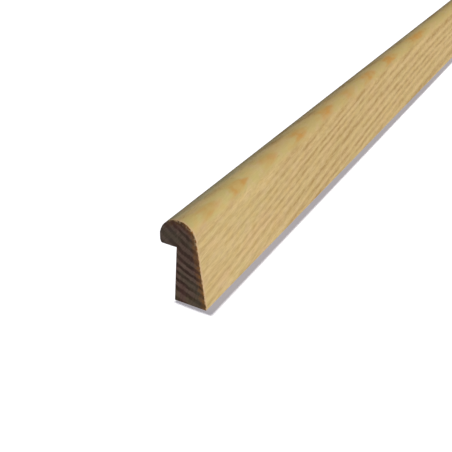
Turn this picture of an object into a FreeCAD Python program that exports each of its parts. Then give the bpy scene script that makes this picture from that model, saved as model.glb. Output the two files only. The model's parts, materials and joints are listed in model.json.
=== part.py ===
"""Rebated bullnose moulding: one length of solid timber, run to a constant section.

The section stands on a narrow flat foot. Its front face leans back as it rises and
runs tangent into a round nose, which forms the whole top. On the back the nose hangs
over a deep square rebate, and its underside is the flat seat of that rebate.

Millimetres. The origin is the centre of the foot at mid-length. +Y runs along the
length, +X points out of the leaning front face, and +Z is up.
"""
import FreeCAD, Part
import math
import os

import Sketcher

# Every driving size, once: alias, value in millimetres, what it measures
SIZES = [
    ("stock_length", 900.0, "length between the two square-sawn ends"),
    ("foot_width", 16.0, "rebate wall to the front corner of the foot"),
    ("rebate_height", 27.0, "foot to the flat underside of the nose"),
    ("nose_depth", 13.0, "flat underside of the nose to its crown"),
    ("nose_radius", 9.0, "radius of the round nose"),
    ("lip_reach", 8.5, "how far the nose hangs out past the rebate wall"),
    ("lip_arris_radius", 1.0, "eased edge where the nose meets its underside"),
    ("foot_arris_radius", 0.4, "eased edges of the foot, front and back"),
]

NODE = "moulding"

# The point of a line or an arc that a constraint takes hold of
START = 1
END = 2
CENTRE = 3
ORIGIN = (-1, 1)

# A long edge passes through a corner of the section when it is this close to it
SAME_PLACE = 0.001


def make_sheet(doc):
    """Write the driving sizes into a spreadsheet, one alias to a row."""
    sheet = doc.addObject("Spreadsheet::Sheet", "sizes")
    for row, (alias, value, meaning) in enumerate(SIZES, start=1):
        sheet.set(f"A{row}", meaning)
        sheet.set(f"B{row}", str(value))
        sheet.setAlias(f"B{row}", alias)
    doc.recompute()
    return sheet


def origin_plane(body, role):
    """Find one of a body's own origin planes by its role."""
    return next(item for item in body.Origin.OriginFeatures if item.Role == role)


def draw_section(body, sheet):
    """Draw the section across the length, looking along it, and constrain it fully."""
    section = body.newObject("Sketcher::SketchObject", "section")
    section.AttachmentSupport = (origin_plane(body, "XZ_Plane"), "")
    section.MapMode = "FlatFace"

    # The outline is drawn close to its place, and the constraints then settle it
    half_foot = sheet.foot_width / 2
    nose_x = sheet.nose_radius - sheet.lip_reach - half_foot
    nose_z = sheet.rebate_height + sheet.nose_depth - sheet.nose_radius
    foot_back = FreeCAD.Vector(-half_foot, 0, 0)
    foot_front = FreeCAD.Vector(half_foot, 0, 0)
    rebate_corner = FreeCAD.Vector(-half_foot, sheet.rebate_height, 0)
    nose_centre = FreeCAD.Vector(nose_x, nose_z, 0)
    nose_front = nose_centre + FreeCAD.Vector(sheet.nose_radius, 0, 0)
    lip_corner = nose_centre - FreeCAD.Vector(sheet.nose_radius, 0, 0)
    nose_circle = Part.Circle(nose_centre, FreeCAD.Vector(0, 0, 1), sheet.nose_radius)

    foot = section.addGeometry(Part.LineSegment(foot_back, foot_front))
    front = section.addGeometry(Part.LineSegment(foot_front, nose_front))
    nose = section.addGeometry(Part.ArcOfCircle(nose_circle, 0, math.pi))
    seat = section.addGeometry(Part.LineSegment(lip_corner, rebate_corner))
    wall = section.addGeometry(Part.LineSegment(rebate_corner, foot_back))

    section.addConstraint([
        Sketcher.Constraint("Coincident", foot, END, front, START),
        Sketcher.Constraint("Tangent", front, END, nose, START),
        Sketcher.Constraint("Coincident", nose, END, seat, START),
        Sketcher.Constraint("Coincident", seat, END, wall, START),
        Sketcher.Constraint("Coincident", wall, END, foot, START),
        Sketcher.Constraint("Horizontal", foot),
        Sketcher.Constraint("Horizontal", seat),
        Sketcher.Constraint("Vertical", wall),
        Sketcher.Constraint("Symmetric", foot, START, foot, END, *ORIGIN),
    ])

    driven = [
        (Sketcher.Constraint("DistanceX", foot, START, foot, END, sheet.foot_width),
         "foot_width", "sizes.foot_width"),
        (Sketcher.Constraint("DistanceY", wall, END, wall, START, sheet.rebate_height),
         "rebate_height", "sizes.rebate_height"),
        (Sketcher.Constraint("Radius", nose, sheet.nose_radius),
         "nose_radius", "sizes.nose_radius"),
        (Sketcher.Constraint("DistanceY", *ORIGIN, nose, CENTRE, nose_z),
         "nose_rise", "sizes.rebate_height + sizes.nose_depth - sizes.nose_radius"),
        (Sketcher.Constraint("DistanceX", nose, CENTRE, *ORIGIN, -nose_x),
         "nose_setback", "sizes.foot_width / 2 + sizes.lip_reach - sizes.nose_radius"),
    ]
    for constraint, name, formula in driven:
        index = section.addConstraint(constraint)
        section.renameConstraint(index, name)
        section.setExpression(f"Constraints.{name}", formula)

    corners = {
        "lip": (seat, START),
        "foot_back": (foot, START),
        "foot_front": (foot, END),
    }
    return section, corners


def edge_through(shape, point, length):
    """Name the edge that runs the whole length through one point of the section."""
    for number, edge in enumerate(shape.Edges, start=1):
        middle = edge.CenterOfMass
        beside = abs(middle.x - point.x) < SAME_PLACE and abs(middle.z - point.y) < SAME_PLACE
        if beside and abs(edge.Length - length) < SAME_PLACE:
            return f"Edge{number}"
    raise RuntimeError(f"no edge of the stock passes through {point}")


def ease_edges(body, name, base, points, length, radius_alias):
    """Round the long edges of the stock that pass through some points of the section."""
    fillet = body.newObject("PartDesign::Fillet", name)
    fillet.Base = (base, [edge_through(base.Shape, point, length) for point in points])
    fillet.setExpression("Radius", f"sizes.{radius_alias}")
    return fillet


def make_moulding(doc, sheet):
    """Run the section to length and ease the edges that a hand meets."""
    body = doc.addObject("PartDesign::Body", NODE)
    body.Label = NODE
    section, corners = draw_section(body, sheet)
    doc.recompute()
    if not section.FullyConstrained:
        raise RuntimeError("the section is not fully constrained")
    place = {name: section.getPoint(*corner) for name, corner in corners.items()}

    stock = body.newObject("PartDesign::Pad", "stock")
    stock.Profile = section
    stock.SideType = "Symmetric"
    stock.setExpression("Length", "sizes.stock_length")
    doc.recompute()

    lip = ease_edges(body, "lip_arris", stock, [place["lip"]],
                     sheet.stock_length, "lip_arris_radius")
    doc.recompute()
    ease_edges(body, "foot_arrises", lip, [place["foot_back"], place["foot_front"]],
               sheet.stock_length, "foot_arris_radius")
    doc.recompute()
    return body


def check_document(doc, bodies):
    """Stop if anything in the document failed, or a body has no sound single solid."""
    for item in doc.Objects:
        if "Invalid" in item.State or "Error" in item.State:
            raise RuntimeError(f"{item.Label} failed: {item.State}")
    for body in bodies:
        if body.Shape.isNull() or not body.Shape.isValid() or len(body.Shape.Solids) != 1:
            raise RuntimeError(f"{body.Label} is not one sound solid")


def main():
    """Build the document, check it and write each body to its own file."""
    doc = FreeCAD.newDocument("bullnose_moulding")
    sheet = make_sheet(doc)
    bodies = [make_moulding(doc, sheet)]
    check_document(doc, bodies)
    os.makedirs("parts", exist_ok=True)
    for body in bodies:
        body.Shape.exportStep(f"parts/{body.Label}.step")
        box = body.Shape.BoundBox
        print(f"{body.Label}: {box.XLength:.2f} x {box.YLength:.2f} x {box.ZLength:.2f} mm,"
              f" {body.Shape.Volume / 1000:.1f} cm3")


main()
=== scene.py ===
"""Looks of one length of rebated bullnose moulding, run from pale softwood.

The stock is modelled as it is machined: its foot is laid down, and the outline is then
carried round it by straight runs and round runs, along the whole length. Both finishes,
the planed long faces and the sawn ends, read the same growth rings in the solid, so
that the figure on the faces meets the rings on the ends.

Metres, in the part's own frame: +Y along the length, +X out of the leaning front face,
+Z up. The figure of the wood is worked out in millimetres from the near end.
"""

import json
import logging
import math
from collections.abc import Callable, Sequence
from dataclasses import dataclass, field
from enum import Enum

import bmesh
import bpy
from mathutils import Matrix, Vector
from mathutils.kdtree import KDTree


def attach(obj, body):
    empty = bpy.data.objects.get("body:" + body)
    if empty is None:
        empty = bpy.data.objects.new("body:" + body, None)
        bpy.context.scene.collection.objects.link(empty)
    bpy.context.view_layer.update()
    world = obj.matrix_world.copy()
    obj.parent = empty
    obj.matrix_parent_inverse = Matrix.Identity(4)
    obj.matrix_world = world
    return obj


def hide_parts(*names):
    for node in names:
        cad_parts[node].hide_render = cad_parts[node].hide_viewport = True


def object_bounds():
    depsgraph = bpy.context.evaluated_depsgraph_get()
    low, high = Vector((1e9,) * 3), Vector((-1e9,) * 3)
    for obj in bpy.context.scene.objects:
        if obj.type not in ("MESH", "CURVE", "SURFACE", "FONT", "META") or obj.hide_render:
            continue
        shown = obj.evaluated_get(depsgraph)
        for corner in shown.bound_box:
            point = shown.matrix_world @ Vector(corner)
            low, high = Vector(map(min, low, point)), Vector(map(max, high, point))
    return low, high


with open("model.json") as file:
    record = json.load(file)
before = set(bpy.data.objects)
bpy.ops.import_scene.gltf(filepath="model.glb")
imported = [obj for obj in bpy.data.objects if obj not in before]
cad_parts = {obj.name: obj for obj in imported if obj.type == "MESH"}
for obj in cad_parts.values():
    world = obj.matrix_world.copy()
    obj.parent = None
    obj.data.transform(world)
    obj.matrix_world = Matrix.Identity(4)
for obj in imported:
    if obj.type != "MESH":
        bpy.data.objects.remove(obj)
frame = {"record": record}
CAD_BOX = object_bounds()

LOG = logging.getLogger("moulding")
MM = 0.001
SAME_PLACE = 1e-6
JUST_UNDER = 0.99
JUST_OVER = 1.1
ARRIS_DISTANCE = "arris_distance"
BAKE_MAP = "OFBake"
Value = float | bpy.types.NodeSocket
Colour = tuple[float, float, float]
# The two ends of a ramp, and the results there where they aren't 0 and 1
Limits = tuple[float, ...]
# Says whether an edge, a face or a corner of the mesh is wanted
Test = Callable[[bmesh.types.BMEdge | bmesh.types.BMFace | bmesh.types.BMVert], bool]
WHITE = (1.0, 1.0, 1.0)
BLACK = (0.0, 0.0, 0.0)


def linear(red: int, green: int, blue: int) -> Colour:
    """Turn a colour written as 0 to 255 display values into linear light.

    Args:
        red: Display red.
        green: Display green.
        blue: Display blue.

    Returns:
        The three linear values.
    """
    def one(value: int) -> float:
        """Turn one display value into linear light."""
        share = value / 255
        return share / 12.92 if share <= 0.04045 else ((share + 0.055) / 1.055) ** 2.4

    return one(red), one(green), one(blue)


@dataclass(frozen=True)
class Blotches:
    """A soft noise that runs through the solid.

    Scale is the number of blotches in a millimetre along X, Y and Z. Layers says how
    many finer layers are added, and strength how strong they are. Start is the place in
    the noise where it begins, so that two noises differ.
    """

    scale: tuple[float, float, float]
    layers: float = 2.0
    strength: float = 0.5
    start: tuple[float, float, float] = (0.0, 0.0, 0.0)


class Wiring:
    """Adds nodes to one node tree and joins them up."""

    def __init__(self, tree: bpy.types.NodeTree) -> None:
        """Start on an empty tree.

        Args:
            tree: The node tree to fill.
        """
        self.tree = tree
        tree.nodes.clear()

    def node(self, kind: str, **settings: object) -> bpy.types.Node:
        """Add one node.

        Args:
            kind: Blender's name of the node type.
            settings: Properties to set on the node.

        Returns:
            The new node.
        """
        node = self.tree.nodes.new(kind)
        for name, value in settings.items():
            setattr(node, name, value)
        return node

    def feed(self, socket: bpy.types.NodeSocket, value: Value | Sequence[float]) -> None:
        """Join an output to an input, or set the input's own value.

        Args:
            socket: The input to feed.
            value: An output socket, a number, a vector or a colour.
        """
        if isinstance(value, bpy.types.NodeSocket):
            self.tree.links.new(value, socket)
        elif socket.type == "RGBA":
            socket.default_value = (*value, 1.0)
        else:
            socket.default_value = value

    def math(self, operation: str, *terms: Value) -> bpy.types.NodeSocket:
        """Work out one number from others.

        Args:
            operation: The Math node's operation.
            terms: Its inputs, in order.

        Returns:
            The result's socket.
        """
        node = self.node("ShaderNodeMath", operation=operation)
        for socket, term in zip(node.inputs, terms):
            self.feed(socket, term)
        return node.outputs[0]

    def product(self, *terms: Value) -> Value:
        """Multiply numbers together.

        Args:
            terms: One number or more.

        Returns:
            Their product, or the number itself where there is only one.
        """
        result = terms[0]
        for term in terms[1:]:
            result = self.math("MULTIPLY", result, term)
        return result

    def ramp(self, value: Value, low: Value, high: Value, start: Value = 0.0,
             end: Value = 1.0) -> bpy.types.NodeSocket:
        """Carry a value smoothly from one range to another.

        Args:
            value: What to carry over.
            low: The value where the result starts to change.
            high: The value where it stops.
            start: The result at low and before it.
            end: The result at high and beyond it.

        Returns:
            The result's socket.
        """
        node = self.node("ShaderNodeMapRange", interpolation_type="SMOOTHSTEP")
        for name, term in (("Value", value), ("From Min", low), ("From Max", high),
                           ("To Min", start), ("To Max", end)):
            self.feed(node.inputs[name], term)
        return node.outputs["Result"]

    def vector(self, operation: str, *terms: Value) -> bpy.types.Node:
        """Work out a direction, a length or a product from directions.

        Args:
            operation: The Vector Math node's operation.
            terms: Its inputs, in order.

        Returns:
            The node, with its outputs Vector and Value.
        """
        node = self.node("ShaderNodeVectorMath", operation=operation)
        for socket, term in zip(node.inputs, terms):
            self.feed(socket, term)
        return node

    def split(self, position: Value) -> tuple[bpy.types.NodeSocket, ...]:
        """Split a position.

        Args:
            position: The position's socket.

        Returns:
            The sockets of its X, Y and Z.
        """
        node = self.node("ShaderNodeSeparateXYZ")
        self.feed(node.inputs[0], position)
        return tuple(node.outputs)

    def join(self, *terms: Value) -> bpy.types.NodeSocket:
        """Join three numbers into a position.

        Args:
            terms: Its X, Y and Z.

        Returns:
            The position's socket.
        """
        node = self.node("ShaderNodeCombineXYZ")
        for socket, term in zip(node.inputs, terms):
            self.feed(socket, term)
        return node.outputs[0]

    def stretch(self, position: Value, scale: Sequence[float],
                shift: Sequence[float] = (0.0, 0.0, 0.0)) -> bpy.types.NodeSocket:
        """Scale and shift a position.

        Args:
            position: The position's socket.
            scale: Factors along X, Y and Z.
            shift: What is added after the scaling.

        Returns:
            The new position's socket.
        """
        node = self.node("ShaderNodeVectorMath", operation="MULTIPLY_ADD")
        for socket, term in zip(node.inputs, (position, scale, shift)):
            self.feed(socket, term)
        return node.outputs[0]

    def noise(self, position: Value, blotches: Blotches) -> bpy.types.NodeSocket:
        """Lay soft noise through the solid.

        Args:
            position: The position's socket.
            blotches: Which noise to lay.

        Returns:
            A socket that runs from 0 to 1 about 0.5.
        """
        node = self.node("ShaderNodeTexNoise")
        self.feed(node.inputs["Vector"], self.stretch(position, blotches.scale, blotches.start))
        for name, term in (("Scale", 1.0), ("Detail", blotches.layers),
                           ("Roughness", blotches.strength)):
            self.feed(node.inputs[name], term)
        return node.outputs["Fac"]

    def blend(self, under: Value | Colour, over: Value | Colour,
              *shares: Value) -> bpy.types.NodeSocket:
        """Lay one colour over another.

        Args:
            under: The colour underneath.
            over: The colour on top.
            shares: How much of the top shows, as masks and shares to be multiplied.

        Returns:
            The blended colour's socket.
        """
        node = self.node("ShaderNodeMix", data_type="RGBA")
        colours = [socket for socket in node.inputs if socket.type == "RGBA"]
        self.feed(node.inputs["Factor"], self.product(*shares))
        self.feed(colours[0], under)
        self.feed(colours[1], over)
        return next(socket for socket in node.outputs if socket.type == "RGBA")

    def place(self, group: bpy.types.NodeTree, **terms: Value) -> bpy.types.Node:
        """Place a node group and feed its inputs.

        Args:
            group: The group to place.
            terms: Its inputs by name, with underscores for spaces.

        Returns:
            The group's node.
        """
        node = self.node("ShaderNodeGroup", node_tree=group)
        for name, term in terms.items():
            self.feed(node.inputs[name.replace("_", " ")], term)
        return node


def new_group(name: str, inputs: dict[str, str], outputs: Sequence[str]) -> tuple[
        Wiring, bpy.types.NodeOutputs, bpy.types.NodeInputs]:
    """Start a shader node group that puts out masks and other plain numbers.

    Args:
        name: The group's name.
        inputs: Its inputs by name, each with its kind, Vector or Float.
        outputs: Names of its number outputs.

    Returns:
        The wiring of the group, what it is given and what it has to put out.
    """
    tree = bpy.data.node_groups.new(name, "ShaderNodeTree")
    for label, kind in inputs.items():
        tree.interface.new_socket(label, in_out="INPUT", socket_type="NodeSocket" + kind)
    for label in outputs:
        tree.interface.new_socket(label, in_out="OUTPUT", socket_type="NodeSocketFloat")
    wiring = Wiring(tree)
    return wiring, wiring.node("NodeGroupInput").outputs, wiring.node("NodeGroupOutput").inputs


@dataclass(frozen=True)
class Climb:
    """How the tree's heart climbs: a shallow wave along the length, in millimetres."""

    slope: float = 0.1182
    length: float = 2000.0

    def rise(self, wiring: Wiring, along: bpy.types.NodeSocket) -> bpy.types.NodeSocket:
        """Work out how far the heart has climbed.

        Args:
            wiring: The wiring of the group that needs it.
            along: The distance from the near end.

        Returns:
            The rise's socket.
        """
        turn = 2 * math.pi / self.length
        wave = wiring.math("SINE", wiring.math("MULTIPLY", along, turn))
        return wiring.math("MULTIPLY", wave, self.slope / turn)


@dataclass(frozen=True)
class GrowthRings:
    """The rings of the tree that the stock was cut from, in millimetres.

    The heart of the tree ran well above the nose and in front of it. It climbs away
    from the near end, so the rings cross the long faces at a slight slope and come out
    on the nose as a row of soft tips.
    """

    heart_x: float = 25.15
    heart_z: float = 80.34
    climb: Climb = Climb()
    first_radius: float = 55.485
    pitch_share: float = 0.0545
    swell: float = 0.221
    swell_length: float = 25.73
    swell_start: float = 47.3
    wide_waver: float = 0.8
    wide_blotches: Blotches = Blotches((1 / 14, 1 / 130, 1 / 14), 1.0)
    fine_waver: float = 1.4
    fine_blotches: Blotches = Blotches((1 / 3, 1 / 17, 1 / 3), start=(7.0, 3.0, 1.0))
    mean_radius: float = 75.0
    # Shares of a ring, from its first early wood
    darkest: float = 0.78
    late_onset: float = 0.36
    onset_spread: float = 0.16
    late_full: float = 0.81
    late_fall: float = 0.84
    false_rise: Limits = (0.17, 0.27)
    false_fall: Limits = (0.27, 0.39, 1.0, 0.0)
    false_tones: Limits = (0.3, 0.7)

    def group(self) -> bpy.types.NodeTree:
        """Build the group that says where in a ring each point of the solid lies.

        Returns:
            A group with these outputs. Late Wood is 1 in the dark end of a ring and
            Ring Wave is a softer form of it. False Ring is a thin line early in some
            rings. Ring Tone differs from ring to ring. Flatness is 1 where the surface
            lies along the rings. Around and Radius are measured from the heart.
        """
        wiring, given, out = new_group(
            "growth_rings", {"Position": "Vector", "Normal": "Vector"},
            ("Late Wood", "Ring Wave", "False Ring", "Ring Tone", "Flatness", "Around", "Radius"))
        position = given["Position"]
        across, along, up = wiring.split(position)

        rise = self.climb.rise(wiring, along)
        beside = wiring.math("SUBTRACT", across, self.heart_x)
        above = wiring.math("SUBTRACT", wiring.math("SUBTRACT", up, self.heart_z), rise)
        arm = wiring.join(beside, 0.0, above)
        radius = wiring.vector("LENGTH", arm).outputs["Value"]
        outward = wiring.vector("NORMALIZE", arm).outputs["Vector"]
        facing = wiring.vector("DOT_PRODUCT", outward, given["Normal"]).outputs["Value"]
        turned = wiring.math("ARCTAN2", beside, wiring.math("MULTIPLY", above, -1.0))

        # Rings waver a little from place to place
        wavered = radius
        for amount, blotches in ((self.wide_waver, self.wide_blotches),
                                 (self.fine_waver, self.fine_blotches)):
            stray = wiring.math("SUBTRACT", wiring.noise(position, blotches), 0.5)
            wavered = wiring.math("MULTIPLY_ADD", stray, amount, wavered)

        # The pitch grows with the radius, and swells in good years
        grown = wiring.math("LOGARITHM", wiring.math("DIVIDE", wavered, self.first_radius),
                            math.exp(self.pitch_share))
        swing = wiring.math("SINE", wiring.math(
            "MULTIPLY", wiring.math("SUBTRACT", wavered, self.swell_start),
            2 * math.pi / self.swell_length))
        count = wiring.math("ADD", wiring.math("MULTIPLY_ADD", swing, self.swell, grown),
                            self.darkest)
        phase = wiring.math("FRACT", count)
        each = wiring.node("ShaderNodeTexWhiteNoise", noise_dimensions="1D")
        wiring.feed(each.inputs["W"], wiring.math("FLOOR", count))
        tone = each.outputs["Value"]

        # Late wood darkens slowly through the ring and ends more suddenly than it began
        onset = wiring.math("MULTIPLY_ADD", tone, self.onset_spread, self.late_onset)
        late = wiring.product(wiring.ramp(phase, onset, self.late_full),
                              wiring.ramp(phase, self.late_fall, 1.0, 1.0, 0.0))
        wave = wiring.math("COSINE", wiring.math(
            "MULTIPLY", wiring.math("SUBTRACT", phase, self.darkest), 2 * math.pi))
        line = wiring.product(wiring.ramp(phase, *self.false_rise),
                              wiring.ramp(phase, *self.false_fall),
                              wiring.ramp(tone, *self.false_tones))
        wiring.feed(out["Late Wood"], late)
        wiring.feed(out["Ring Wave"], wiring.math("MULTIPLY_ADD", wave, 0.5, 0.5))
        wiring.feed(out["False Ring"], line)
        wiring.feed(out["Ring Tone"], tone)
        wiring.feed(out["Flatness"], wiring.math("ABSOLUTE", facing))
        wiring.feed(out["Around"], wiring.math("MULTIPLY", turned, self.mean_radius))
        wiring.feed(out["Radius"], radius)
        return wiring.tree


@dataclass(frozen=True)
class Fibres:
    """The fibres of the wood, which lie along the heart, in millimetres."""

    climb: Climb = Climb()
    thread: Blotches = Blotches((7.0, 1 / 9, 7.0), 2.0, 0.6, (6.0, 2.0, 9.0))
    streak: Blotches = Blotches((1.3, 1 / 4.5, 1.3), 3.0, 0.6)
    band: Blotches = Blotches((1 / 3, 1 / 45, 1 / 3), 1.0, start=(2.0, 5.0, 8.0))
    patch: Blotches = Blotches((1 / 8, 1 / 22, 1 / 8), 1.0, start=(4.0, 9.0, 2.0))
    cloud: Blotches = Blotches((1 / 4, 1 / 8, 1 / 4), start=(7.0, 4.0, 5.0))
    fade: Blotches = Blotches((1 / 2.5, 1 / 11, 1 / 2.5), start=(1.0, 6.0, 3.0))
    canal_spread: tuple[float, float, float] = (0.75, 1 / 42, 0.75)
    canal_edge: Limits = (0.05, 0.13, 1.0, 0.0)

    def group(self) -> bpy.types.NodeTree:
        """Build the group of everything that is drawn out along the fibres.

        Returns:
            A group with these outputs. Thread is the finest, Streak is fine and Band
            is broad. Canal marks the short dark resin canals, Patch and Cloud drift
            in colour, and Fade is where the rings fade out along the length.
        """
        wiring, given, out = new_group(
            "fibres", {"Position": "Vector"},
            ("Thread", "Streak", "Band", "Canal", "Patch", "Cloud", "Fade"))
        across, along, up = wiring.split(given["Position"])
        rise = self.climb.rise(wiring, along)
        laid = wiring.join(across, along, wiring.math("SUBTRACT", up, rise))
        for name, blotches in (("Thread", self.thread), ("Streak", self.streak),
                               ("Band", self.band), ("Patch", self.patch),
                               ("Cloud", self.cloud), ("Fade", self.fade)):
            wiring.feed(out[name], wiring.noise(laid, blotches))
        cells = wiring.node("ShaderNodeTexVoronoi", feature="F1", distance="EUCLIDEAN")
        wiring.feed(cells.inputs["Vector"], wiring.stretch(laid, self.canal_spread))
        wiring.feed(cells.inputs["Scale"], 1.0)
        wiring.feed(out["Canal"], wiring.ramp(cells.outputs["Distance"], *self.canal_edge))
        return wiring.tree


@dataclass(frozen=True)
class EdgeWear:
    """Where a sawn arris is bruised, burnt or left with broken fibres."""

    raggedness: float = 0.9
    blotches: Blotches = Blotches((1 / 1.6, 1 / 1.6, 1 / 1.6), start=(3.0, 1.0, 6.0))
    border: Limits = (0.25, 1.0, 1.0, 0.0)

    def group(self) -> bpy.types.NodeTree:
        """Build the group that marks a ragged band beside an arris.

        Returns:
            A group with the output Wear, 1 at the arris and 0 beyond about Reach.
        """
        wiring, given, out = new_group(
            "edge_wear", {"Position": "Vector", "Distance": "Float", "Reach": "Float"}, ("Wear",))
        stray = wiring.math("SUBTRACT", wiring.noise(given["Position"], self.blotches), 0.5)
        share = wiring.math("DIVIDE", given["Distance"], given["Reach"])
        share = wiring.math("MULTIPLY_ADD", stray, self.raggedness, share)
        wiring.feed(out["Wear"], wiring.ramp(share, *self.border))
        return wiring.tree


@dataclass(frozen=True)
class Grain:
    """The three shared node groups of the wood."""

    rings: bpy.types.NodeTree
    fibres: bpy.types.NodeTree
    wear: bpy.types.NodeTree


@dataclass(frozen=True)
class Finish:
    """What both finishes of the timber share.

    Half length is half of the stock's length. Roughness is given where the surface is
    smoothest and where it is roughest, and relief is the depth of its finest detail.
    """

    name: str
    half_length: float
    roughness: tuple[float, float]
    relief: float
    specular: float = 0.1

    def start(self) -> tuple[bpy.types.Material, Wiring, bpy.types.NodeSocket]:
        """Start a material whose position is measured in millimetres from the near end.

        Returns:
            The material, its wiring and the position's socket.
        """
        material = bpy.data.materials.new(self.name)
        material.use_nodes = True
        wiring = Wiring(material.node_tree)
        place = wiring.node("ShaderNodeTexCoord").outputs["Object"]
        position = wiring.stretch(place, (1 / MM,) * 3, (0.0, self.half_length / MM, 0.0))
        return material, wiring, position

    def wear(self, wiring: Wiring, grain: Grain, position: bpy.types.NodeSocket,
             reach: Value) -> bpy.types.NodeSocket:
        """Mark the ragged band beside the sawn arris.

        Args:
            wiring: The material's wiring.
            grain: The shared groups.
            position: The position's socket.
            reach: How far the band reaches, in millimetres.

        Returns:
            The mask's socket.
        """
        distance = wiring.node("ShaderNodeAttribute", attribute_name=ARRIS_DISTANCE).outputs["Fac"]
        return wiring.place(grain.wear, Position=position, Distance=distance,
                            Reach=reach).outputs["Wear"]

    def surface(self, wiring: Wiring, colour: bpy.types.NodeSocket, rough: Value,
                height: bpy.types.NodeSocket) -> None:
        """Close a material with its colour, its roughness and its relief.

        Args:
            wiring: The material's wiring.
            colour: The base colour.
            rough: 0 where the surface is smoothest, 1 where it is roughest.
            height: The relief, from 0 to 1.
        """
        shader = wiring.node("ShaderNodeBsdfPrincipled")
        wiring.feed(shader.inputs["Base Color"], colour)
        wiring.feed(shader.inputs["Roughness"], wiring.ramp(rough, 0.0, 1.0, *self.roughness))
        shader.inputs["Specular IOR Level"].default_value = self.specular
        bump = wiring.node("ShaderNodeBump")
        wiring.feed(bump.inputs["Height"], height)
        bump.inputs["Distance"].default_value = self.relief
        bump.inputs["Strength"].default_value = 1.0
        wiring.feed(shader.inputs["Normal"], bump.outputs[0])
        end = wiring.node("ShaderNodeOutputMaterial")
        wiring.feed(end.inputs["Surface"], shader.outputs[0])


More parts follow.
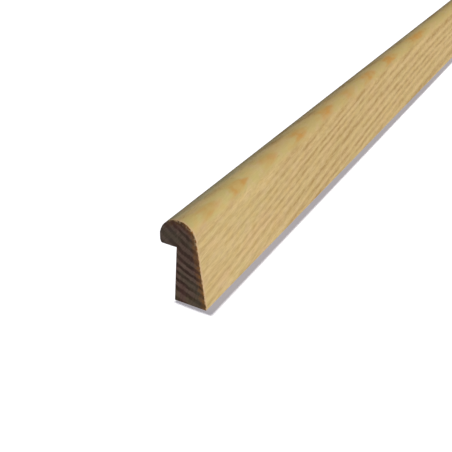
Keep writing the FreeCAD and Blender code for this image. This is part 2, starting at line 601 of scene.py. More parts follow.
@dataclass(frozen=True)
class PlanedTimber(Finish):
    """Planed and unfinished long faces: pale wood with soft, slightly warm stripes.

    A share says how strongly a colour is laid over what lies under it. Heights and
    depths are shares of the relief, and places are in millimetres.
    """

    roughness: tuple[float, float] = (0.65, 0.85)
    relief: float = 0.05 * MM
    early: Colour = linear(209, 181, 126)
    late: Colour = linear(163, 131, 78)
    pale: Colour = linear(224, 198, 144)
    rosy: Colour = linear(214, 175, 131)
    green: Colour = linear(193, 176, 112)
    golden: Colour = linear(208, 175, 105)
    blush: Colour = linear(208, 178, 141)
    deep: Colour = linear(188, 157, 103)
    tip: Colour = linear(198, 146, 74)
    crown: Colour = linear(199, 182, 119)
    # Painted shade: a greyer tint for the nose's far side, which faces away from the light
    far_side_shade: Colour = linear(191, 189, 152)
    canal: Colour = linear(145, 107, 60)
    broken: Colour = linear(211, 179, 138)
    nose_flatness: Limits = (0.72, 0.97)
    crown_share: float = 0.9
    # Where across the section the painted shade of the far side begins and where it is full
    far_side_shade_x: Limits = (-7.0, -10.5)
    patch_share: float = 0.45
    cloud_share: float = 0.45
    low_drift: Limits = (0.3, 0.48, 1.0, 0.0)
    high_drift: Limits = (0.52, 0.7)
    deep_share: float = 0.3
    deepening: Limits = (57.0, 125.0)
    late_edge: float = 0.15
    early_share: float = 0.33
    late_share: float = 0.51
    far_late_share: float = 1.0
    false_share: float = 0.15
    fading: Limits = (0.36, 0.6, 0.4, 1.0)
    weakest_ring: float = 0.65
    nose_ring_loss: float = 0.85
    band_share: float = 0.17
    streak_share: float = 0.3
    thread_share: float = 0.3
    dark_streak: Limits = (0.3, 0.5, 1.0, 0.0)
    pale_streak: Limits = (0.5, 0.7)
    nose_streak_loss: float = 0.75
    tip_share: float = 0.85
    tip_wave: Limits = (0.3, 1.0)
    tip_flatness: Limits = (0.88, 0.99)
    tip_tones: Limits = (0.0, 0.6, 0.6, 1.0)
    tip_clouds: Limits = (0.3, 0.6, 0.3, 1.0)
    canal_share: float = 0.4
    broken_share: float = 0.75
    broken_reach: float = 2.0
    ring_height: float = 0.5
    streak_height: float = 0.5
    canal_depth: float = 0.4

    def material(self, grain: Grain) -> bpy.types.Material:
        """Build the finish.

        Args:
            grain: The shared groups.

        Returns:
            The material.
        """
        material, wiring, position = self.start()
        normal = wiring.node("ShaderNodeNewGeometry").outputs["Normal"]
        ring = wiring.place(grain.rings, Position=position, Normal=normal).outputs
        fibre = wiring.place(grain.fibres, Position=position).outputs

        # The nose is a little greener than the front, and its far side, turned away from the light,
        # gets a greyer tint as painted shade
        flat = wiring.ramp(ring["Flatness"], *self.nose_flatness)
        across, along, _ = wiring.split(position)
        colour = wiring.blend(self.early, self.crown, flat, self.crown_share)
        colour = wiring.blend(colour, self.far_side_shade, wiring.ramp(across, *self.far_side_shade_x))

        # The wood drifts in colour from place to place, and deepens away from the near end
        for kind, share, low, high in (("Patch", self.patch_share, self.green, self.rosy),
                                       ("Cloud", self.cloud_share, self.golden, self.blush)):
            for limits, shade in ((self.low_drift, low), (self.high_drift, high)):
                colour = wiring.blend(colour, shade, wiring.ramp(fibre[kind], *limits), share)
        deepened = wiring.ramp(along, *self.deepening)
        colour = wiring.blend(colour, self.deep, deepened, self.deep_share)

        # Late wood darkens it in stripes that fade in and out, and are faint on the nose
        strength = wiring.product(
            wiring.math("MULTIPLY_ADD", ring["Ring Tone"], 1.0 - self.weakest_ring,
                        self.weakest_ring),
            wiring.ramp(fibre["Fade"], *self.fading),
            wiring.math("MULTIPLY_ADD", flat, -self.nose_ring_loss, 1.0))
        stronger = wiring.math("MULTIPLY_ADD", deepened, self.far_late_share - self.late_share,
                               self.late_share)
        late_wood = wiring.math("MULTIPLY_ADD", ring["Late Wood"], self.late_edge,
                                wiring.math("MULTIPLY", ring["Ring Wave"], 1.0 - self.late_edge))
        early_wood = wiring.math("SUBTRACT", 1.0, late_wood)
        for mask, share, shade in ((early_wood, self.early_share, self.pale),
                                   (late_wood, stronger, self.late),
                                   (ring["False Ring"], self.false_share, self.late)):
            colour = wiring.blend(colour, shade, mask, strength, share)

        # Between the rings the fibres run in darker and paler streaks, broad and fine
        shown = wiring.math("MULTIPLY_ADD", flat, -self.nose_streak_loss, 1.0)
        for kind, share in (("Band", self.band_share), ("Streak", self.streak_share),
                            ("Thread", self.thread_share)):
            for limits, shade in ((self.dark_streak, self.late), (self.pale_streak, self.pale)):
                mask = wiring.ramp(fibre[kind], *limits)
                colour = wiring.blend(colour, shade, mask, shown, share)

        # Where the rings lie flat they show as soft orange tips
        colour = wiring.blend(colour, self.tip, wiring.ramp(ring["Ring Wave"], *self.tip_wave),
                              wiring.ramp(ring["Flatness"], *self.tip_flatness),
                              wiring.ramp(ring["Ring Tone"], *self.tip_tones),
                              wiring.ramp(fibre["Cloud"], *self.tip_clouds), self.tip_share)

        # Resin canals are short dark lines, and the sawn arris shows pale broken fibres
        colour = wiring.blend(colour, self.canal, fibre["Canal"], self.canal_share)
        worn = self.wear(wiring, grain, position, self.broken_reach)
        colour = wiring.blend(colour, self.broken, worn, self.broken_share)

        # Late wood stands a little proud and is smoother, and the canals are grooves
        proud = wiring.math("MULTIPLY", ring["Late Wood"], self.ring_height)
        height = wiring.math("MULTIPLY_ADD", fibre["Streak"], self.streak_height, proud)
        height = wiring.math("MULTIPLY_ADD", fibre["Canal"], -self.canal_depth, height)
        self.surface(wiring, colour, wiring.math("SUBTRACT", 1.0, proud), height)
        return material


@dataclass(frozen=True)
class SawnEnd(Finish):
    """Sawn end grain: darker than the faces, with the rings as broad soft bands.

    A share says how strongly a colour is laid over what lies under it. Heights are
    shares of the relief, and places are in millimetres.
    """

    roughness: tuple[float, float] = (0.8, 0.95)
    relief: float = 0.12 * MM
    early: Colour = linear(136, 110, 92)
    late: Colour = linear(76, 55, 43)
    pore: Colour = linear(62, 43, 35)
    warm: Colour = linear(124, 80, 72)
    olive: Colour = linear(112, 100, 58)
    grey: Colour = linear(112, 101, 88)
    rim: Colour = linear(172, 116, 58)
    crown_rim: Colour = linear(112, 76, 38)
    chip: Colour = linear(205, 170, 124)
    specks: Blotches = Blotches((1.6, 0.1, 1.6), 3.0, 0.65)
    raggedness: float = 0.9
    band_edge: Limits = (0.2, 0.85)
    calm_z: Limits = (17.0, 25.0, 0.0, 0.2)
    calm_loss: float = 0.5
    drift: Blotches = Blotches((1 / 7, 1 / 60, 1 / 7), 1.0, start=(5.0, 2.0, 3.0))
    low_drift: Limits = (0.5, 0.32)
    high_drift: Limits = (0.5, 0.72)
    olive_z: Limits = (2.0, 10.0, 0.2, 0.0)
    grey_x: Limits = (-14.0, -6.0, 0.25, 0.0)
    patch_share: float = 0.4
    pore_edge: Limits = (0.3, 0.45, 1.0, 0.0)
    pore_share: float = 0.4
    rays: Blotches = Blotches((1.4, 1.0, 1 / 6), 1.0)
    ray_edge: Limits = (0.35, 0.55, 1.0, 0.0)
    ray_share: float = 0.3
    scratches: Blotches = Blotches((1.3, 0.2, 1 / 14), start=(8.0, 1.0, 4.0))
    scratch_edge: Limits = (0.5, 0.7)
    scratch_share: float = 0.3
    back_x: Limits = (-15.0, -10.0)
    rim_x: Limits = (-6.0, -1.0)
    rim_reach: float = 3.4
    rim_loss: float = 0.55
    rim_blotches: Blotches = Blotches((1 / 1.3, 0.1, 1 / 1.3), 3.0, 0.6, (2.0, 7.0, 4.0))
    rim_edge: Limits = (0.35, 0.6, 0.35, 1.0)
    shoulder_back: Limits = (-10.0, -5.0)
    shoulder_front: Limits = (-1.0, 3.0, 1.0, 0.0)
    shoulder_reach: float = 1.6
    chip_reach: float = 0.6
    chip_blotches: Blotches = Blotches((1 / 1.6, 0.1, 1 / 1.6), 2.0, 0.6, (9.0, 3.0, 1.0))
    chip_edge: Limits = (0.47, 0.6)
    band_height: float = 0.4
    speck_height: float = 0.6
    scratch_height: float = 0.3

    def material(self, grain: Grain) -> bpy.types.Material:
        """Build the finish.

        Args:
            grain: The shared groups.

        Returns:
            The material.
        """
        material, wiring, position = self.start()
        normal = wiring.node("ShaderNodeNewGeometry").outputs["Normal"]
        ring = wiring.place(grain.rings, Position=position, Normal=normal).outputs

        # Broad bands with a ragged border, in wood that drifts between red and olive
        speck = wiring.noise(position, self.specks)
        wave = wiring.math("MULTIPLY_ADD", wiring.math("SUBTRACT", speck, 0.5),
                           self.raggedness, ring["Ring Wave"])
        across, _, up = wiring.split(position)
        calm = wiring.ramp(up, *self.calm_z)
        band = wiring.ramp(wave, *self.band_edge, calm,
                           wiring.math("MULTIPLY_ADD", calm, -self.calm_loss, 1.0))
        colour = wiring.blend(self.early, self.late, band)
        drift = wiring.noise(position, self.drift)
        foot = wiring.math("ADD", drift, wiring.ramp(up, *self.olive_z))
        lip = wiring.math("ADD", drift, wiring.ramp(across, *self.grey_x))
        for where, limits, patch in ((drift, self.low_drift, self.warm),
                                     (foot, self.high_drift, self.olive),
                                     (lip, self.high_drift, self.grey)):
            colour = wiring.blend(colour, patch, wiring.ramp(where, *limits), self.patch_share)

        # Open pores, rays that run from the heart, and the scratches of the saw
        fan = wiring.join(ring["Around"], 0.0, ring["Radius"])
        ray = wiring.noise(fan, self.rays)
        scratch = wiring.noise(position, self.scratches)
        for where, limits, shade, share in (
                (speck, self.pore_edge, self.pore, self.pore_share),
                (ray, self.ray_edge, self.late, self.ray_share),
                (scratch, self.scratch_edge, self.early, self.scratch_share)):
            colour = wiring.blend(colour, shade, wiring.ramp(where, *limits), share)

        # A warm ragged rim runs along the front, darkens over the nose and ends at its back
        in_front = wiring.ramp(across, *self.back_x)
        rim = wiring.blend(self.crown_rim, self.rim, wiring.ramp(across, *self.rim_x))
        blotch = wiring.ramp(wiring.noise(position, self.rim_blotches), *self.rim_edge)
        colour = wiring.blend(
            colour, rim, self.wear(wiring, grain, position, self.rim_reach), in_front,
            wiring.math("MULTIPLY_ADD", band, -self.rim_loss, 1.0), blotch)

        # Pale fibres are left hanging over the arris, furthest on the shoulder of the nose
        shoulder = wiring.product(wiring.ramp(across, *self.shoulder_back),
                                  wiring.ramp(across, *self.shoulder_front))
        reach = wiring.math("MULTIPLY_ADD", shoulder, self.shoulder_reach - self.chip_reach,
                            self.chip_reach)
        torn = wiring.ramp(wiring.noise(position, self.chip_blotches), *self.chip_edge)
        colour = wiring.blend(
            colour, self.chip, self.wear(wiring, grain, position, reach), in_front, torn)

        # The bands stand proud, and specks and scratches roughen them
        height = wiring.math("MULTIPLY_ADD", band, self.band_height,
                             wiring.math("MULTIPLY", speck, self.speck_height))
        height = wiring.math("MULTIPLY_ADD", scratch, self.scratch_height, height)
        self.surface(wiring, colour, speck, height)
        return material


class Face(Enum):
    """The two kinds of surface that the stock has, by material slot."""

    PLANED = 0
    SAWN = 1


@dataclass(frozen=True)
class StraightRun:
    """A flat of the outline, between two points of the section."""

    start: Vector
    end: Vector
    strips: int

    def carry(self) -> None:
        """Extrude the selected long edge along the flat, strip by strip."""
        step = (self.end - self.start) / self.strips
        for _ in range(self.strips):
            bpy.ops.mesh.extrude_edges_move(TRANSFORM_OT_translate={"value": (step.x, 0.0, step.y)})

    def points(self) -> list[Vector]:
        """Say where its strips end."""
        return [self.start.lerp(self.end, (i + 1) / self.strips) for i in range(self.strips)]


@dataclass(frozen=True)
class RoundRun:
    """An arc of the outline, turned about a centre of the section."""

    centre: Vector
    radius: float
    begin: float
    turn: float
    strips: int

    def at(self, angle: float) -> Vector:
        """Find the point of the arc at an angle from +X towards +Z."""
        return self.centre + self.radius * Vector((math.cos(angle), math.sin(angle)))

    @property
    def start(self) -> Vector:
        """Where the arc starts."""
        return self.at(self.begin)

    @property
    def end(self) -> Vector:
        """Where the arc ends."""
        return self.at(self.begin + self.turn)

    def carry(self) -> None:
        """Spin the selected long edge round the arc."""
        bpy.ops.mesh.spin(steps=self.strips, angle=self.turn, axis=(0.0, 1.0, 0.0),
                          center=(self.centre.x, 0.0, self.centre.y))

    def points(self) -> list[Vector]:
        """Say where its strips end."""
        return [self.at(self.begin + self.turn * (i + 1) / self.strips) for i in range(self.strips)]


@dataclass(frozen=True)
class Section:
    """The moulding's section, seen along +Y: x is across it and z is up."""

    wall_x: float
    seat_z: float
    foot_width: float = 16.0 * MM
    nose_depth: float = 13.0 * MM
    nose_radius: float = 9.0 * MM
    lip_reach: float = 8.5 * MM
    lip_arris: float = 1.0 * MM
    foot_arris: float = 0.4 * MM
    foot_arris_strips: int = 6
    front_strips: int = 60
    nose_strips: int = 90
    lip_arris_strips: int = 8
    seat_strips: int = 5
    wall_strips: int = 18

    @property
    def nose_centre(self) -> Vector:
        """The centre of the round nose."""
        return Vector((self.wall_x - self.lip_reach + self.nose_radius,
                       self.seat_z + self.nose_depth - self.nose_radius))

    @property
    def lean(self) -> float:
        """How far the front face leans back from upright, as the tangent to the nose.

        Returns:
            The angle, in radians.
        """
        to_centre = self.nose_centre - Vector((self.wall_x + self.foot_width, 0.0))
        away = math.asin(self.nose_radius / to_centre.length)
        return math.atan2(to_centre.y, to_centre.x) - away - math.pi / 2

    def foot(self) -> tuple[float, float]:
        """Find the two long edges of the foot's flat, inside its eased arrises.

        Returns:
            The flat's back edge and front edge along X.
        """
        corner = math.pi / 2 - self.lean
        front = self.wall_x + self.foot_width - self.foot_arris / math.tan(corner / 2)
        return self.wall_x + self.foot_arris, front

    def runs(self) -> list[StraightRun | RoundRun]:
        """List the outline's runs from the foot's front edge round to its back edge.

        Returns:
            The straight and round runs in order, each starting where the last one ends.
        """
        back, front = self.foot()
        quarter = math.pi / 2
        front_arris = RoundRun(Vector((front, self.foot_arris)), self.foot_arris,
                               -quarter, quarter + self.lean, self.foot_arris_strips)
        lip_centre_z = self.seat_z + self.lip_arris
        inner = self.nose_radius - self.lip_arris
        drop = math.asin((self.nose_centre.y - lip_centre_z) / inner)
        nose = RoundRun(self.nose_centre, self.nose_radius, self.lean,
                        math.pi + drop - self.lean, self.nose_strips)
        lip_centre = self.nose_centre - inner * Vector((math.cos(drop), math.sin(drop)))
        lip = RoundRun(lip_centre, self.lip_arris, math.pi + drop, quarter - drop,
                       self.lip_arris_strips)
        corner = Vector((self.wall_x, self.seat_z))
        back_arris = RoundRun(Vector((back, self.foot_arris)), self.foot_arris,
                              math.pi, quarter, self.foot_arris_strips)
        return [
            front_arris,
            StraightRun(front_arris.end, nose.start, self.front_strips),
            nose,
            lip,
            StraightRun(lip.end, corner, self.seat_strips),
            StraightRun(corner, back_arris.start, self.wall_strips),
            back_arris,
        ]

    def outline(self) -> list[tuple[Vector, float]]:
        """List the outline's points, each with its distance round the outline.

        Returns:
            The points from the foot's front edge round to that edge again.
        """
        runs = self.runs()
        points = [runs[0].start] + [p for run in runs for p in run.points()] + [runs[0].start]
        travelled = [0.0]
        for before, after in zip(points, points[1:]):
            travelled.append(travelled[-1] + (after - before).length)
        return list(zip(points, travelled))

    def inside(self, x: float, z: float) -> float:
        """Say how far inside the front face and the round nose a point lies.

        Args:
            x: Its place across the section.
            z: Its height.

        Returns:
            Its distance from them, which is less than 0 outside.
        """
        away = Vector((x, z)) - self.nose_centre
        out = Vector((math.cos(self.lean), math.sin(self.lean)))
        rounded = away.y * out.x - away.x * out.y > 0.0
        return self.nose_radius - (away.length if rounded else away.dot(out))


@dataclass(frozen=True)
class SawMarks:
    """The fine scoring that the saw left on the ends."""

    pitch: float = 0.85 * MM
    lean: float = math.radians(6)
    depth: float = 0.05 * MM
    cross_pitch: float = 1.7 * MM
    raggedness: float = 0.03 * MM
    reach: float = 45.0 * MM
    near_line: float = 0.02
    seed: int = 3

    @property
    def across(self) -> Vector:
        """The direction across the scoring, in the section."""
        return Vector((math.cos(self.lean), math.sin(self.lean)))

    @property
    def along(self) -> Vector:
        """The direction along the scoring, in the section."""
        return Vector((-math.sin(self.lean), math.cos(self.lean)))

    def cuts(self) -> list[tuple[Vector, float]]:
        """List the lines that divide an end: a direction and the distance along it.

        Returns:
            The lines of the scoring, then the lines across it.
        """
        lines = []
        for direction, pitch in ((self.across, self.pitch), (self.along, self.cross_pitch)):
            count = int(self.reach / pitch)
            lines += [(direction, step * pitch) for step in range(-count, count + 1)]
        return lines

    def on_ridge(self, x: float, z: float) -> bool:
        """Say whether a point of an end lies on every second line of the scoring."""
        line = (x * self.across.x + z * self.across.y) / self.pitch
        return round(line) % 2 == 1 and abs(line - round(line)) < self.near_line


@dataclass
class MouldingStock:
    """The length of timber, from its near end to its far end."""

    section: Section
    near_y: float
    far_y: float
    marks: SawMarks = SawMarks()
    end_arris: float = 0.2 * MM
    end_arris_strips: int = 2
    deepest_break: float = 0.8 * MM
    break_length: float = 1.4 * MM
    break_contrast: float = 2.5
    sawn_break: float = 0.35
    bays: int = 90
    smooth_angle: float = math.radians(20)
    sawn_angle: float = math.radians(45)
    end_facing: float = 0.3
    girth_share: float = 0.72
    map_margin: float = 0.004
    piece: bpy.types.Object = field(init=False)

    def build(self) -> bpy.types.Object:
        """Model the stock as a closed mesh.

        Returns:
            The finished object, at the origin, with its place in its mesh.
        """
        self.lay_foot()
        for run in self.section.runs():
            self.pick(self.runs_along(run.start))
            run.carry()
        self.close()
        self.ease_ends()
        self.break_arrises()
        self.score_ends()
        self.divide_length()
        self.finish()
        self.measure_arris()
        self.unwrap()
        return self.piece

    def lay_foot(self) -> None:
        """Add the foot's flat as a strip that lies on the floor, the whole length."""
        back, front = self.section.foot()
        middle = (back + front) / 2
        bpy.ops.object.select_all(action="DESELECT")
        bpy.ops.mesh.primitive_plane_add(
            size=1.0, calc_uvs=False, location=(middle, (self.near_y + self.far_y) / 2, 0.0))
        self.piece = bpy.context.active_object
        self.piece.name = "moulding_stock"
        self.piece.data.name = "moulding_stock"
        bpy.ops.object.transform_apply(location=True, rotation=True, scale=True)
        bpy.ops.object.mode_set(mode="EDIT")
        bpy.ops.mesh.select_mode(type="EDGE")
        bpy.ops.mesh.select_all(action="SELECT")
        bpy.ops.transform.resize(value=(front - back, self.far_y - self.near_y, 1.0),
                                 center_override=(middle, 0.0, 0.0))

    def pick(self, test: Test, kind: str = "EDGE") -> None:
        """Select the edges, faces or corners that pass a test, and nothing else.

        Args:
            test: Says whether an element is wanted.
            kind: EDGE, FACE or VERT.
        """
        bpy.ops.mesh.select_mode(type=kind)
        bpy.ops.mesh.select_all(action="DESELECT")
        mesh = bmesh.from_edit_mesh(self.piece.data)
        elements = {"EDGE": mesh.edges, "FACE": mesh.faces, "VERT": mesh.verts}[kind]
        for element in [element for element in elements if test(element)]:
            element.select_set(True)
        bmesh.update_edit_mesh(self.piece.data)

    def runs_along(self, point: Vector) -> Test:
        """Make the test for the long edge that passes through a point of the section.

        Args:
            point: The point.

        Returns:
            The test, for pick.
        """
        def test(edge: bmesh.types.BMEdge) -> bool:
            """Say whether both ends of the edge are at the point."""
            return all(math.hypot(v.co.x - point.x, v.co.z - point.y) < SAME_PLACE
                       for v in edge.verts)
        return test

    def close(self) -> None:
        """Join the last run to the foot and fill the two ends."""
        bpy.ops.mesh.select_all(action="SELECT")
        bpy.ops.mesh.remove_doubles(threshold=SAME_PLACE)
        bpy.ops.mesh.select_all(action="DESELECT")
        bpy.ops.mesh.select_non_manifold()
        bpy.ops.mesh.fill_holes(sides=0)
        bpy.ops.mesh.select_all(action="SELECT")
        bpy.ops.mesh.normals_make_consistent(inside=False)

    def ease_ends(self) -> None:
        """Ease the arrises of the two sawn ends."""
        self.pick(lambda edge: abs(edge.verts[0].co.y - edge.verts[1].co.y) < SAME_PLACE)
        bpy.ops.mesh.bevel(offset=self.end_arris, segments=self.end_arris_strips,
                           affect="EDGES", clamp_overlap=False)

    def break_arrises(self) -> None:
        """Push the sawn arris of the front and the nose in along the length, unevenly.

        The saw broke fibres away there, and a cloudy texture says how far.
        """
        bpy.ops.object.mode_set(mode="OBJECT")
        clouds = bpy.data.textures.new("broken_fibres", "CLOUDS")
        clouds.noise_scale = self.break_length
        clouds.noise_depth = 1
        clouds.contrast = self.break_contrast
        clouds.use_clamp = True
        for name, level, inwards in (("near_arris", self.near_y, 1.0),
                                     ("far_arris", self.far_y, -1.0)):
            group = self.piece.vertex_groups.new(name=name)
            for vertex in self.piece.data.vertices:
                share = abs(vertex.co.y - level) / self.end_arris
                if share < JUST_OVER and self.on_show(vertex.co):
                    group.add([vertex.index], min(math.sqrt(share), 1.0), "REPLACE")
            push = self.piece.modifiers.new(name, "DISPLACE")
            push.texture = clouds
            push.texture_coords = "LOCAL"
            push.vertex_group = name
            push.direction = "Y"
            push.mid_level = 0.0
            push.strength = inwards * self.deepest_break
            bpy.ops.object.modifier_apply(modifier=name)
        self.piece.vertex_groups.clear()
        bpy.data.textures.remove(clouds)
        bpy.ops.object.mode_set(mode="EDIT")

    def on_show(self, place: Vector) -> bool:
        """Say whether a place is on the front or the nose, or within an arris of them."""
        within = self.section.inside(place.x, place.z) < self.end_arris * JUST_UNDER
        return within and place.z > self.section.foot_arris

    def score_ends(self) -> None:
        """Divide the flats of the ends and leave the saw's scoring on them."""
        marks = self.marks
        for direction, distance in marks.cuts():
            self.pick(lambda face: abs(face.normal.y) > JUST_UNDER, "FACE")
            bpy.ops.mesh.bisect(
                plane_co=(direction.x * distance, 0.0, direction.y * distance),
                plane_no=(direction.x, 0.0, direction.y))
        for y, inwards in ((self.near_y, 1.0), (self.far_y, -1.0)):
            self.pick(lambda v: abs(v.co.y - y) < SAME_PLACE, "VERT")
            bpy.ops.transform.translate(value=(0.0, inwards * marks.raggedness, 0.0))
            level = y + inwards * marks.raggedness
            self.pick(lambda v: abs(v.co.y - level) < SAME_PLACE
                      and marks.on_ridge(v.co.x, v.co.z), "VERT")
            bpy.ops.transform.translate(value=(0.0, inwards * marks.depth, 0.0))
            self.pick(lambda v: abs(v.co.y - level) < marks.depth + SAME_PLACE, "VERT")
            bpy.ops.transform.vertex_random(offset=marks.raggedness, seed=marks.seed)

    def divide_length(self) -> None:
        """Divide the long faces into bays along the length."""
        half = (self.far_y - self.near_y) / 2
        self.pick(lambda edge: abs(edge.verts[0].co.y - edge.verts[1].co.y) > half)
        bpy.ops.mesh.subdivide(number_cuts=self.bays - 1)

    def finish(self) -> None:
        """Leave edit mode, shade the long faces smooth and mark the sawn ends."""
        bpy.ops.object.mode_set(mode="OBJECT")
        bpy.ops.object.shade_smooth_by_angle(angle=self.smooth_angle)
        for polygon in self.piece.data.polygons:
            middle = polygon.center
            along = min(middle.y - self.near_y, self.far_y - middle.y)
            inside = self.section.inside(middle.x, middle.z) / self.end_arris
            broken = (along < self.deepest_break + self.end_arris
                      and self.sawn_break < inside < 1.0)
            sawn = broken or abs(polygon.normal.y) > math.cos(self.sawn_angle)
            polygon.material_index = (Face.SAWN if sawn else Face.PLANED).value

    def measure_arris(self) -> None:
        """Keep on each corner how far it is, in millimetres, from the sawn arris.

        On the long faces that is along the length. On the ends it is from the arris of
        the front face and the nose.
        """
        mesh = self.piece.data
        layer = mesh.attributes.new(ARRIS_DISTANCE, "FLOAT", "POINT")
        for vertex, kept in zip(mesh.vertices, layer.data):
            along = min(vertex.co.y - self.near_y, self.far_y - vertex.co.y)
            inside = self.section.inside(vertex.co.x, vertex.co.z)
            kept.value = max(along, inside if along < self.end_arris else 0.0, 0.0) / MM

    def unwrap(self) -> None:
        """Lay the long faces out as one strip, with the two ends side by side above it."""
        mesh = self.piece.data
        outline = self.section.outline()
        girth = outline[-1][1]
        tree = KDTree(len(outline))
        for index, (point, _) in enumerate(outline):
            tree.insert((point.x, point.y, 0.0), index)
        tree.balance()
        low = Vector(CAD_BOX[0])
        size = Vector(CAD_BOX[1]) - low
        layer = mesh.uv_layers.new(name=BAKE_MAP)
        end_height = 1.0 - self.girth_share - 2 * self.map_margin
        end_width = 0.5 - 2 * self.map_margin
        for polygon in mesh.polygons:
            spots = [mesh.vertices[index].co for index in polygon.vertices]
            if abs(polygon.normal.y) > self.end_facing:
                shift = 0.0 if polygon.center.y < 0.0 else 0.5
                places = [(shift + self.map_margin + end_width * (spot.z - low.z) / size.z,
                           self.girth_share + self.map_margin
                           + end_height * (spot.x - low.x) / size.x) for spot in spots]
            else:
                rounds = [outline[tree.find((spot.x, spot.z, 0.0))[1]][1] for spot in spots]
                if max(rounds) - min(rounds) > girth / 2:
                    rounds = [r + girth if r < girth / 2 else r for r in rounds]
                places = [((spot.y - low.y) / size.y, self.girth_share * r / girth)
                          for spot, r in zip(spots, rounds)]
            for loop, place in zip(polygon.loop_indices, places):
                layer.data[loop].uv = place

    def dress(self, planed: bpy.types.Material, sawn: bpy.types.Material) -> None:
        """Give the stock its two finishes.

        Args:
            planed: The finish of the long faces.
            sawn: The finish of the ends.
        """
        self.piece.data.materials.append(planed)
        self.piece.data.materials.append(sawn)


@dataclass(frozen=True)
class Lamp:
    """A lamp that is far away and lights one object.

    Aim is the way that its light travels. Level is how bright it makes a white surface
    that faces it, where 1 is white. Width is how wide it looks, in degrees.
    """

    name: str
    aim: tuple[float, float, float]
    level: float
    width: float
    tint: Colour = WHITE


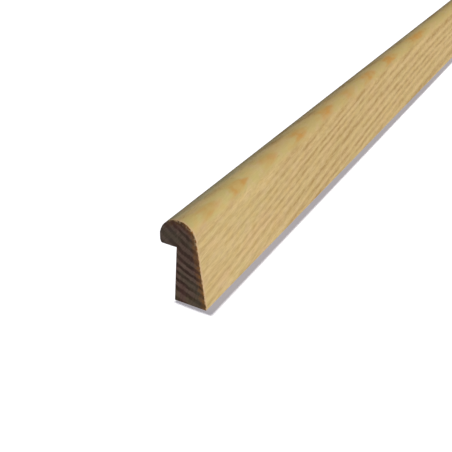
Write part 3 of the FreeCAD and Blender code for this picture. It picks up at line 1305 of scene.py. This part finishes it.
@dataclass(frozen=True)
class Studio:
    """A white floor, soft light and the camera at the photograph's viewing angle."""

    key: Lamp = Lamp("key", (-0.707, -0.2, -0.707), 0.85, 20.0, (1.0, 0.985, 0.965))
    floor_light: Lamp = Lamp("floor_light", (0.312, -0.055, -1.0), 2.7, 2.5)
    sky_light: Colour = (0.033, 0.036, 0.042)
    floor_size: float = 12.0
    floor_gap: float = 0.02 * MM
    floor_white: float = 0.3
    floor_return: Colour = (0.74, 0.785, 0.88)
    floor_glow: Colour = (0.348, 0.335, 0.37)
    camera_place: tuple[float, float, float] = (0.132715, -0.694301, 0.197743)
    azimuth: float = 25.79
    elevation: float = 29.44
    roll: float = 3.83
    lens: float = 61.73
    sensor_width: float = 36.0
    nearest_view: float = 0.01

    def seen(self, wiring: Wiring) -> bpy.types.NodeSocket:
        """Tell what the camera sees, also in a gloss, from what only lights the object.

        Args:
            wiring: The wiring of the material or the world that needs it.

        Returns:
            A socket that is 1 where the camera sees it, and 0 for other light.
        """
        path = wiring.node("ShaderNodeLightPath")
        return wiring.math("MAXIMUM", path.outputs["Is Camera Ray"], wiring.math(
            "MAXIMUM", path.outputs["Is Glossy Ray"], path.outputs["Is Transmission Ray"]))

    def sky(self) -> None:
        """Light the scene softly from all sides, and show white behind the object."""
        world = bpy.data.worlds.new("studio_light")
        world.use_nodes = True
        bpy.context.scene.world = world
        wiring = Wiring(world.node_tree)
        light = wiring.node("ShaderNodeBackground")
        wiring.feed(light.inputs["Color"], wiring.blend(self.sky_light, WHITE, self.seen(wiring)))
        end = wiring.node("ShaderNodeOutputWorld")
        wiring.feed(end.inputs["Surface"], light.outputs[0])

    def floor(self) -> bpy.types.Object:
        """Lay a plain white floor that still keeps the object's shadow.

        Returns:
            The floor.
        """
        bpy.ops.object.select_all(action="DESELECT")
        bpy.ops.mesh.primitive_plane_add(size=self.floor_size, location=(0.0, 0.0, -self.floor_gap))
        floor = bpy.context.active_object
        floor.name = "floor"
        material = bpy.data.materials.new("white_floor")
        material.use_nodes = True
        wiring = Wiring(material.node_tree)
        seen = self.seen(wiring)
        matt = wiring.node("ShaderNodeBsdfDiffuse")
        wiring.feed(matt.inputs["Color"], wiring.blend(BLACK, (self.floor_white,) * 3, seen))
        glow = wiring.node("ShaderNodeEmission")
        wiring.feed(glow.inputs["Color"], wiring.blend(self.floor_return, self.floor_glow, seen))
        both = wiring.node("ShaderNodeAddShader")
        wiring.feed(both.inputs[0], matt.outputs[0])
        wiring.feed(both.inputs[1], glow.outputs[0])
        end = wiring.node("ShaderNodeOutputMaterial")
        wiring.feed(end.inputs["Surface"], both.outputs[0])
        floor.data.materials.append(material)
        return floor

    def hang(self, lamp: Lamp, only: bpy.types.Object) -> None:
        """Hang a lamp that lights one object and is shaded by all.

        Args:
            lamp: The lamp.
            only: The object that it lights.
        """
        data = bpy.data.lights.new(lamp.name, "SUN")
        data.energy = lamp.level * math.pi
        data.color = lamp.tint
        data.angle = math.radians(lamp.width)
        hung = bpy.data.objects.new(lamp.name, data)
        bpy.context.scene.collection.objects.link(hung)
        hung.rotation_mode = "QUATERNION"
        hung.rotation_quaternion = Vector(lamp.aim).to_track_quat("-Z", "Y")
        lit = bpy.data.collections.new(lamp.name + "_lights")
        lit.objects.link(only)
        hung.light_linking.receiver_collection = lit

    def camera(self) -> None:
        """Set up the camera at the photograph's viewing angle."""
        data = bpy.data.cameras.new("camera")
        data.sensor_fit = "HORIZONTAL"
        data.sensor_width = self.sensor_width
        data.lens = self.lens
        data.clip_start = self.nearest_view
        camera = bpy.data.objects.new("camera", data)
        bpy.context.scene.collection.objects.link(camera)
        turn = (Matrix.Rotation(math.radians(self.azimuth), 4, "Z")
                @ Matrix.Rotation(math.radians(90 - self.elevation), 4, "X")
                @ Matrix.Rotation(math.radians(self.roll), 4, "Z"))
        camera.matrix_world = Matrix.Translation(self.camera_place) @ turn
        bpy.context.scene.camera = camera


def mount(name: str) -> Vector:
    """Read where one of the part's mounts is.

    Args:
        name: The mount's name in the record.

    Returns:
        Its position, in metres.
    """
    return Vector(next(m for m in frame["record"]["mounts"] if m["name"] == name)["pos_m"])


def main() -> None:
    """Build the stock and the studio, and report each piece."""
    logging.basicConfig(level=logging.INFO, format="%(name)s: %(message)s")
    bpy.context.scene.view_settings.view_transform = "Standard"
    section = Section(wall_x=mount("rebate_wall").x, seat_z=mount("rebate_seat").z)
    near_y, far_y = mount("near_end").y, mount("far_end").y
    stock = MouldingStock(section, near_y, far_y)
    piece = stock.build()
    grain = Grain(GrowthRings().group(), Fibres().group(), EdgeWear().group())
    half = (far_y - near_y) / 2
    stock.dress(PlanedTimber("planed_timber", half).material(grain),
                SawnEnd("sawn_end", half).material(grain))
    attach(piece, "root")
    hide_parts("moulding")
    LOG.info("%s: %d faces", piece.name, len(piece.data.polygons))

    studio = Studio()
    studio.sky()
    floor = studio.floor()
    studio.hang(studio.key, piece)
    studio.hang(studio.floor_light, floor)
    studio.camera()


if __name__ == "__main__":
    main()
